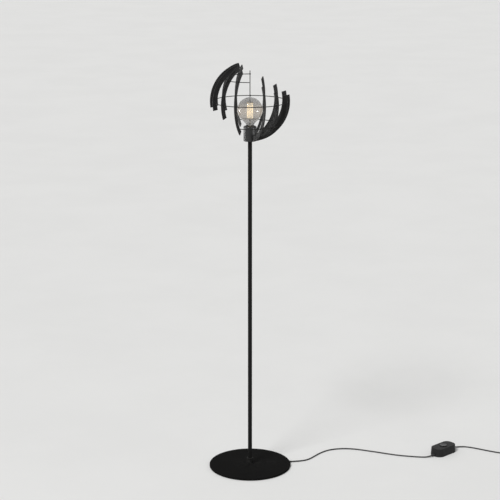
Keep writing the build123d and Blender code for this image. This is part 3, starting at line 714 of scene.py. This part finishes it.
pole = {"wall": 1.2, "chamfer": 0.55}
hub = {
    "radius": 24.5, "lowZ": 1306.0, "highZ": 1326.0, "wall": 1.5, "floor": 3.0, "hole": 5.15, "edge": 0.9,
}
cover = {
    "radius": 24.5, "lowZ": 1326.0, "highZ": 1362.0, "edge": 2.5, "mouthR": 19.0, "wall": 1.5,
    "spigotR": 22.85, "spigotDrop": 8.0, "seam": 0.35,
}


def makePole():
    for node in ("pole_lower", "pole_middle", "pole_upper"):
        low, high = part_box(node)
        radius, z0, z1 = high.x / mm, low.z / mm, high.z / mm
        bore, cut = radius - pole["wall"], pole["chamfer"]
        outline = [(bore, z0, 0), (radius - cut, z0, 0.15), (radius, z0 + cut, 0.3),
                   (radius, z1 - cut, 0.3), (radius - cut, z1, 0.15), (bore, z1, 0)]
        lathePiece(node.replace("pole_", "poleTube_"), outline, "stand_coat", [node], segments=64)


def makeHubAndCover():
    z0, z1 = hub["lowZ"], hub["highZ"]
    inside, floor = hub["radius"] - hub["wall"], z0 + hub["floor"]
    outline = [(hub["hole"], z0, 0.3), (hub["radius"], z0, hub["edge"]), (hub["radius"], z1, 0.3),
               (inside, z1, 0.2), (inside, floor, 0.5), (hub["hole"], floor, 0.2)]
    lathePiece("hubCup", outline, "cover_coat", ["cage_hub"], segments=128)
    z0, z1 = cover["lowZ"], cover["highZ"]
    radius, spigot = cover["radius"], cover["spigotR"]
    bore, foot = spigot - cover["wall"], z0 - cover["spigotDrop"]
    outline = [(cover["mouthR"], z1 - cover["wall"], 0.4), (cover["mouthR"], z1, 0.6),
               (radius, z1, cover["edge"]), (radius, z0 + cover["seam"], 0.3),
               (radius - cover["seam"], z0, 0.1), (spigot, z0, 0.2), (spigot, foot, 0.3), (bore, foot, 0.3),
               (bore, z1 - cover["wall"], 0.8)]
    lathePiece("socketCover", outline, "cover_coat", ["socket_cover"], segments=128)
    print("pole, hub and cover built")


# bulb: smoky globe, screw cap, glass mount and lit filaments

bulb = {
    "globeR": 47.5, "globeZ": 1424.0, "glassWall": 0.9, "kneeR": 16.0, "kneeRound": 14.0,
    "shoulderAngle": 48.0, "neckR": 12.4, "neckZ": 1360.5, "footZ": 1358.0, "neckRound": 2.0,
    "stemR": 4.0, "stemTopZ": 1389.4, "flareR": 13.0, "flareZ": 1365.5,
}
screwCap = {
    "radius": 13.2, "wall": 0.6, "topZ": 1360.5, "footZ": 1337.7, "footTaper": 1.5, "holeR": 5.0,
    "threadLow": 1341.2, "threadHigh": 1356.4, "pitch": 3.6, "depth": 1.15, "rows": 92, "around": 80,
    "crestIn": 0.05, "endIn": 0.25, "fade": 1.3,
}
filament = {
    "count": 10, "radius": 1.45, "ringR": 10.3, "lowZ": 1391.0, "highZ": 1452.0, "capLong": 1.6,
    "capR": 0.95, "wireR": 0.6, "coreR": 2.3, "coreShort": 5.0,
}


def globeLine():
    r, wall = bulb["globeR"], math.radians(bulb["shoulderAngle"])
    leave = Vector((r * math.sin(wall), bulb["globeZ"] - r * math.cos(wall)))
    run = (leave.x - bulb["kneeR"]) / math.cos(wall)
    knee = (bulb["kneeR"], leave.y - run * math.sin(wall))
    foot = [(bulb["neckR"], bulb["footZ"], 0), (bulb["neckR"], bulb["neckZ"], bulb["neckRound"]),
            (*knee, bulb["kneeRound"]), (*leave, 0)]
    line = softened(foot, closed=False, steps=9)
    for step in range(1, 37):
        angle = wall + (math.pi - wall) * step / 36
        line.append(Vector((max(0.0, r * math.sin(angle)), bulb["globeZ"] - r * math.cos(angle))))
    line[-1].x = 0.0
    return line


def drawnIn(line, inset):
    moved = []
    for index, spot in enumerate(line):
        along = line[min(index + 1, len(line) - 1)] - line[max(index - 1, 0)]
        inward = Vector((-along.y, along.x)).normalized() * inset
        if spot.x < 1e-6:
            inward = Vector((0, -inset))
        moved.append(spot + inward)
    moved[0].y = line[0].y
    return moved


def makeGlobe():
    outer = globeLine()
    bm = bmesh.new()
    addLathe(bm, outer + drawnIn(outer, bulb["glassWall"])[::-1], 128)
    addPiece("bulbGlobe", bm, "smoke_glass", ["bulb_glass"], "bulb", 50.0)
    r, top, flare, foot = bulb["stemR"], bulb["stemTopZ"], bulb["flareR"], bulb["flareZ"]
    outline = [(0, foot, 0), (flare, foot, 0.3), (flare - 0.3, foot + 0.9, 0.3), (r + 1.0, foot + 4.0, 2.5),
               (r, foot + 9.0, 3.0), (r, top - 7.0, 1.5), (r - 1.4, top - 3.5, 1.5),
               (r - 1.0, top - 1.2, 0.8), (0, top, 0)]
    lathePiece("bulbMount", outline, "stem_glass", ["bulb_stem"], "bulb", 48, sharp=50.0, closed=False)


def threadRadius(height, turn):
    # rolled thread, fading out at both ends and a step smaller at its first and last row
    spec = screwCap
    inside = min(height - spec["threadLow"], spec["threadHigh"] - height) / spec["pitch"]
    wave = 0.5 + 0.5 * math.cos(2 * math.pi * (height / spec["pitch"] - turn))
    radius = spec["radius"] - spec["crestIn"] - spec["depth"] * wave * min(1.0, inside * spec["fade"])
    return radius if inside > 0 else radius - spec["endIn"]


def makeScrewCap():
    spec = screwCap
    radius, foot, top = spec["radius"], spec["footZ"], spec["topZ"]
    low, high = spec["threadLow"], spec["threadHigh"]
    outline = [(spec["holeR"], foot), (radius - spec["footTaper"] - 0.4, foot),
               (radius - 0.9, foot + spec["footTaper"]), (radius - 0.7, foot + 2.2)]
    outline += [(None, low + (high - low) * index / spec["rows"]) for index in range(spec["rows"] + 1)]
    outline += [(radius - 0.25, high + 0.9), (radius - 0.2, top - 0.8), (radius, top - 0.5),
                (radius - 0.15, top)]
    bm = bmesh.new()
    rings = []
    for inset, run in ((0.0, outline), (spec["wall"], outline[::-1])):
        for size, height in run:
            z = height + inset if height <= foot else height
            turns = [index / spec["around"] for index in range(spec["around"])]
            sizes = [threadRadius(height, turn) if size is None else size for turn in turns]
            rings.append([bm.verts.new(onCircle(each - inset, 2 * math.pi * turn, z))
                          for each, turn in zip(sizes, turns)])
    skinRings(bm, rings, closed=True)
    addPiece("screwCap", bm, "bulb_cap", ["bulb_cap"], "bulb", 60.0)
    tipLow, tipHigh = (corner.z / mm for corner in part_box("bulb_tip"))
    outline = [(0, tipHigh, 0), (6.0, tipHigh, 0.4), (7.6, tipHigh + 1.4, 1.2), (11.0, foot, 0.5),
               (0, foot, 0)]
    lathePiece("capInsulator", outline, "bulb_insulator", ["bulb_insulator"], "bulb", 64, sharp=50.0,
               closed=False)
    outline = [(0, tipLow, 0), (2.2, tipLow, 1.5), (4.6, tipLow + 0.55, 0.6), (5.0, tipHigh, 0),
               (0, tipHigh, 0)]
    lathePiece("capTip", outline, "bulb_tip", ["bulb_tip"], "bulb", 48, sharp=60.0, closed=False)


def makeFilaments():
    spec = filament
    z0, z1, long = spec["lowZ"], spec["highZ"], spec["capLong"]
    strips, caps = bmesh.new(), bmesh.new()
    for index in range(spec["count"]):
        turn = 2 * math.pi * (index + 0.5) / spec["count"]
        place = Matrix.Translation(onCircle(spec["ringR"], turn))
        strip = [(0, z0 + long, 0), (spec["radius"], z0 + long, 0.4), (spec["radius"], z1 - long, 0.4),
                 (0, z1 - long, 0)]
        addLathe(strips, softened(strip, closed=False), 20, place, closed=False)
        for low, high in ((z0 - 0.2, z0 + long + 0.3), (z1 - long - 0.3, z1 + 0.2)):
            cap = [(0, low, 0), (spec["capR"], low, 0.2), (spec["capR"], high, 0.2), (0, high, 0)]
            addLathe(caps, softened(cap, closed=False, steps=2), 12, place, closed=False)
    addPiece("glowStrips", strips, "filament", ["bulb_filaments"], "bulb", 50.0)
    wire = spec["wireR"]
    for z in (z0 - wire, z1 + wire):
        addTube(caps, [onCircle(spec["ringR"], turn, z) for turn in fullTurn(48)], wire, 10, closed=True)
        addTube(caps, [(-spec["ringR"], 0, z), (0, 0, z), (spec["ringR"], 0, z)], wire, 10, endRound=0.1)
    addTube(caps, [(0, 0, z0 - wire), (0, 0, (z0 + z1) / 2), (0, 0, z1 + wire)], wire, 10,
            endRound=0.2, upward=(1, 0, 0))
    addPiece("filamentFrame", caps, "support_wire", ["bulb_wires"], "bulb", 50.0)
    low, high = z0 + spec["coreShort"], z1 - spec["coreShort"]
    core = [(wire, low, 0.1), (spec["coreR"], low, 0.8), (spec["coreR"], high, 0.8), (wire, high, 0.1)]
    lathePiece("glowCore", core, "filament", body="bulb", segments=32)
    print("bulb built")


# foot switch, rim bush and plug pieces

footSwitch = {
    "centre": (781.0, 133.0, 0.0), "angle": 43.0, "length": 111.0, "width": 60.0, "cornerR": 24.0,
    "splitZ": 7.0, "topZ": 33.0, "draft": 3.0, "edge": 2.5, "partingCut": 0.35, "around": 144,
    "dishR": 20.0, "dishDepth": 0.7, "holeR": 15.3, "wall": 2.2,
    "buttonR": 15.0, "buttonTopZ": 36.0, "buttonDish": 0.9, "flangeR": 17.0, "stemR": 4.0, "stemLowZ": 12.5,
}
strainSleeve = {
    "rootR": 4.6, "tipR": 3.2, "long": 15.0, "inside": 3.0, "bore": 2.62, "grooves": 3, "grooveDepth": 0.45,
}
rimBush = {"inner": 144.0, "outer": 168.0, "bodyR": 3.6, "tipR": 3.0, "bore": 2.6}
pinSleeve = {"radius": 2.12, "long": 9.0, "pinR": 1.98, "faceAhead": 59.0, "halfApart": 9.1}


def blockRing(bm, inset, z, place):
    # the switch's rounded plan, met by rays from its middle so that rings match point to point
    spec = footSwitch
    halfLong, halfWide = spec["length"] / 2 - inset, spec["width"] / 2 - inset
    corner = spec["cornerR"] - inset
    centre = Vector((halfLong - corner, halfWide - corner))
    ring = []
    for angle in fullTurn(spec["around"]):
        ray = Vector((abs(math.cos(angle)), abs(math.sin(angle))))
        along = ray.dot(centre)
        reach = along + math.sqrt(max(0.0, along ** 2 - centre.length_squared + corner ** 2))
        if ray.x > 1e-9 and halfLong / ray.x * ray.y <= centre.y:
            reach = halfLong / ray.x
        if ray.y > 1e-9 and halfWide / ray.y * ray.x <= centre.x:
            reach = halfWide / ray.y
        ring.append(bm.verts.new(place @ onCircle(reach, angle, z)))
    return ring


def roundRing(bm, radius, z, place):
    return [bm.verts.new(place @ onCircle(radius, turn, z)) for turn in fullTurn(footSwitch["around"])]


def makeSwitchShell(place):
    # parting groove, drafted sides, rounded rim, finger dish, button hole and a flat inside
    spec = footSwitch
    bm = bmesh.new()
    slope = math.tan(math.radians(spec["draft"]))
    z0, top, edge, cut = spec["splitZ"], spec["topZ"], spec["edge"], spec["partingCut"]
    rim, inside = top - edge, top - spec["wall"]
    lean = (rim - z0) * slope
    plan = [(spec["wall"], z0), (cut, z0), (cut * 0.3, z0 + cut * 0.7), (cut * slope, z0 + cut * 2)]
    plan += [((rim - z0) * step / 6 * slope, z0 + (rim - z0) * step / 6) for step in range(1, 6)]
    for step in range(9):
        turn = math.radians(90 * step / 8)
        plan.append((lean + edge * (1 - math.cos(turn)), rim + edge * math.sin(turn)))
    rings = [blockRing(bm, inset, z, place) for inset, z in plan]
    dish, hole, low = spec["dishR"], spec["holeR"], top - spec["dishDepth"]
    bowl = [(dish + 1.6, top), (dish + 0.5, top - 0.06), (dish, top - 0.25),
            (dish - 0.5, top - spec["dishDepth"] * 0.8), (dish - 1.2, low), (hole + 0.5, low),
            (hole + 0.1, low - 0.15), (hole, low - 0.5), (hole, inside)]
    rings += [roundRing(bm, radius, z, place) for radius, z in bowl]
    rings.append(blockRing(bm, spec["wall"] + lean + 1.0, inside, place))
    skinRings(bm, rings, closed=True)
    addPiece("switchUpperShell", bm, "switch_shell", ["switch_upper_shell"], sharp=45.0)


def makeSwitchButton(place):
    spec = footSwitch
    top, r = spec["buttonTopZ"], spec["buttonR"]
    flange = spec["topZ"] - spec["wall"] - 0.3
    outline = [(0, top - spec["buttonDish"], 0), (r * 0.45, top - spec["buttonDish"] * 0.8, 8.0),
               (r - 2.2, top, 1.2), (r, top, 1.4), (r, flange, 0.1), (spec["flangeR"], flange, 0.2),
               (spec["flangeR"], flange - 1.6, 0.2), (spec["stemR"], flange - 1.6, 0.3),
               (spec["stemR"], spec["stemLowZ"], 0.4), (0, spec["stemLowZ"], 0)]
    lathePiece("switchButton", outline, "switch_button", ["switch_button"], "button", place=place,
               sharp=45.0, closed=False, steps=6)


returnSpring = {"wireR": 0.6, "closedTurns": 1.0, "openTurns": 4, "stepsPerTurn": 24, "travel": 3.0}


def makeReturnSpring():
    # turns that lie close at both ends and open between
    spec = returnSpring
    low, high = [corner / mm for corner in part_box("switch_spring")]
    middle = (low + high) / 2
    coilR = (high.x - low.x) / 2 - spec["wireR"]
    bottom, top = low.z + spec["wireR"], high.z - spec["wireR"]
    closedRise = 2.1 * spec["wireR"] * spec["closedTurns"]
    turns = spec["openTurns"] + 2 * spec["closedTurns"]
    steps = int(turns * spec["stepsPerTurn"])
    line = []
    for step in range(steps + 1):
        turn = turns * step / steps
        if turn < spec["closedTurns"]:
            z = bottom + closedRise * turn / spec["closedTurns"]
        elif turn > turns - spec["closedTurns"]:
            z = top - closedRise * (turns - turn) / spec["closedTurns"]
        else:
            share = (turn - spec["closedTurns"]) / spec["openTurns"]
            z = bottom + closedRise + (top - bottom - 2 * closedRise) * share
        spot = headed(360 * turn, coilR)
        line.append((middle.x + spot.x, middle.y + spot.y, z))
    bm = bmesh.new()
    addTube(bm, line, spec["wireR"], sides=10, endRound=0.15)
    spring = addPiece("returnSpring", bm, "spring_steel", ["switch_spring"], sharp=60.0)
    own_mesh(spring)
    return spring


def sleeveOutline():
    # a taper along Z with shallow flex grooves, from inside its housing to its free tip
    spec = strainSleeve
    root, tip, long, bore, inside = spec["rootR"], spec["tipR"], spec["long"], spec["bore"], spec["inside"]
    outline = [(bore, -inside, 0), (root, -inside, 0.3), (root, 1.0, 0.4)]
    for index in range(spec["grooves"]):
        z = 2.0 + (long - 3.0) * (index + 0.5) / spec["grooves"]
        r = root + (tip - root) * z / long
        low = r - spec["grooveDepth"]
        outline += [(r, z - 0.9, 0.2), (low, z - 0.5, 0.2), (low, z + 0.5, 0.2), (r, z + 0.9, 0.2)]
    return outline + [(tip, long, 0.3), (bore, long, 0.1)]


def makeSwitch():
    spec = footSwitch
    place = Matrix.Translation(spec["centre"]) @ Matrix.Rotation(math.radians(spec["angle"]), 4, "Z")
    makeSwitchShell(place)
    makeSwitchButton(place)
    sleeves = []
    for side, name in ((-1, "switchSleeveIn"), (1, "switchSleeveOut")):
        face = aheadOf((*spec["centre"][:2], spec["splitZ"]), spec["angle"], side * spec["length"] / 2)
        heading = spec["angle"] + (0 if side > 0 else 180)
        sleeves.append(lathePiece(name, sleeveOutline(), "rim_rubber", segments=40,
                                  place=axisPlace(face, heading)))
    print("foot switch built")
    return sleeves


def makeRimBush():
    spec = rimBush
    r, bore = spec["bodyR"], spec["bore"]
    long, rim = spec["outer"] - spec["inner"], baseRadius - spec["inner"]
    outline = [(bore, 0, 0.1), (r, 0, 0.2), (r, rim + 1.0, 0.4), (r - 0.55, rim + 2.2, 0.15),
               (r - 0.55, rim + 2.9, 0.15), (r - 0.2, rim + 3.1, 0.1), (r - 0.3, rim + 4.4, 0.15),
               (r - 0.7, rim + 4.6, 0.15), (r - 0.7, rim + 5.3, 0.15), (r - 0.35, rim + 5.5, 0.1),
               (spec["tipR"], long, 0.2), (bore, long, 0.1)]
    start = headed(cordFacts["exitAngle"], spec["inner"])
    start.z = cordFacts["exitZ"]
    lathePiece("rimBush", outline, "rim_rubber", ["cord_rim_bush"], segments=40,
               place=axisPlace(start, cordFacts["exitAngle"]))


def makePinSleeves():
    spec = pinSleeve
    angle = cordFacts["plugAngle"]
    bm = bmesh.new()
    for side in (-1, 1):
        face = aheadOf(cordFacts["plugEntry"], angle, spec["faceAhead"])
        face += headed(angle + 90, side * spec["halfApart"])
        outline = [(spec["pinR"], -0.5, 0), (spec["radius"], -0.5, 0), (spec["radius"], spec["long"], 0.1),
                   (spec["pinR"], spec["long"], 0)]
        addLathe(bm, softened(outline), 32, axisPlace(face, angle))
    return addPiece("pinSleeves", bm, "plug_moulding")


makeCage()
makePole()
makeHubAndCover()
makeGlobe()
makeScrewCap()
makeFilaments()
switchSleeves = makeSwitch()
switchSpring = makeReturnSpring()
makeRimBush()
plugSleeves = makePinSleeves()


# floor, lamps, world and camera

studio = {
    "floorColour": (0.80, 0.80, 0.79), "floorSize": 60.0, "sunStrength": 2.1, "sunAngle": 18.0,
    "sunFrom": (-0.55, -0.75, 1.15), "worldSeen": 0.765, "worldLight": 0.42,
    # heading from the front, distance, height, width, tallness, watts, spread
    "softboxes": {"rearLeftBox": (-110, 2.4, 1.1, 0.55, 0.55, 1.3, 50),
                  "rightBox": (72, 2.4, 1.1, 0.5, 0.5, 1.3, 50),
                  "frontLeftStrip": (-36, 2.7, 1.42, 0.20, 1.9, 3.5, 180)},
    "bulbGlow": 0.8, "glowColour": (1.0, 0.80, 0.55), "glowOutside": 1.5,
}
viewpoint = {"distance": 5.990, "height": 2.423, "pitch": 14.43, "focalPixels": 1615.0, "framePixels": 500}


def makeFloor():
    half = studio["floorSize"] / 2
    mesh = bpy.data.meshes.new("floor")
    mesh.from_pydata([(-half, -half, 0), (half, -half, 0), (half, half, 0), (-half, half, 0)], [],
                     [(0, 1, 2, 3)])
    floor = bpy.data.objects.new("floor", mesh)
    bpy.context.scene.collection.objects.link(floor)
    material, tree, shader = bareMaterial("paleFloor")
    cloud = rangeNode(tree, noiseNode(tree, 1.6, 4.0, 0.6), 0.3, 0.7)
    darker = tuple(channel * 0.975 for channel in studio["floorColour"])
    tree.links.new(mixColours(tree, cloud, studio["floorColour"], darker), shader.inputs["Base Color"])
    shader.inputs["Roughness"].default_value = 0.75
    shader.inputs["Specular IOR Level"].default_value = 0.2
    bumpInto(tree, shader, noiseNode(tree, 55.0, 4.0, 0.6), 0.0006, 0.35)
    mesh.materials.append(material)


def makeWorld():
    world = bpy.data.worlds.new("studio")
    bpy.context.scene.world = world
    world.use_nodes = True
    tree = world.node_tree
    background = tree.nodes["Background"]
    rays = tree.nodes.new("ShaderNodeLightPath")
    seen = mathNode(tree, "MAXIMUM", rays.outputs["Is Camera Ray"], rays.outputs["Is Glossy Ray"])
    seen = mathNode(tree, "MAXIMUM", seen, rays.outputs["Is Transmission Ray"])
    span = studio["worldSeen"] - studio["worldLight"]
    level = mathNode(tree, "ADD", mathNode(tree, "MULTIPLY", seen, span), studio["worldLight"])
    tree.links.new(level, background.inputs["Strength"])
    background.inputs["Color"].default_value = (1.0, 1.0, 1.0, 1.0)


def addLight(name, kind, place, aim, power):
    data = bpy.data.lights.new(name, kind)
    data.energy = power
    light = bpy.data.objects.new(name, data)
    bpy.context.scene.collection.objects.link(light)
    light.location = place
    light.rotation_euler = (Vector(aim) - Vector(place)).to_track_quat("-Z", "Y").to_euler()
    light.visible_camera = False
    light.visible_transmission = False
    return data


def makeLights():
    middle = (0, 0, bulb["globeZ"] * mm)
    sun = addLight("keySun", "SUN", studio["sunFrom"], (0, 0, 0), studio["sunStrength"])
    sun.angle = math.radians(studio["sunAngle"])
    for name, (turn, away, height, wide, tall, power, spread) in studio["softboxes"].items():
        place = headed(turn - 90, away)
        place.z = height
        box = addLight(name, "AREA", place, middle, power)
        box.shape = "RECTANGLE"
        box.size, box.size_y = wide, tall
        box.spread = math.radians(spread)
    glow = addLight("bulbGlow", "POINT", middle, (0, 0, 0), studio["bulbGlow"])
    glow.shadow_soft_size = (bulb["globeR"] + studio["glowOutside"]) * mm
    glow.color = studio["glowColour"]
    bpy.data.objects["bulbGlow"].visible_glossy = False


def makeCamera():
    data = bpy.data.cameras.new("camera")
    data.sensor_width = 36.0
    data.lens = viewpoint["focalPixels"] * data.sensor_width / viewpoint["framePixels"]
    data.clip_end = 200.0
    camera = bpy.data.objects.new("camera", data)
    bpy.context.scene.collection.objects.link(camera)
    camera.location = (0.0, -viewpoint["distance"], viewpoint["height"])
    camera.rotation_euler = (math.radians(90 - viewpoint["pitch"]), 0.0, 0.0)
    bpy.context.scene.camera = camera


makeFloor()
makeWorld()
makeLights()
makeCamera()
bpy.context.scene.view_settings.view_transform = "Standard"
print("studio ready")
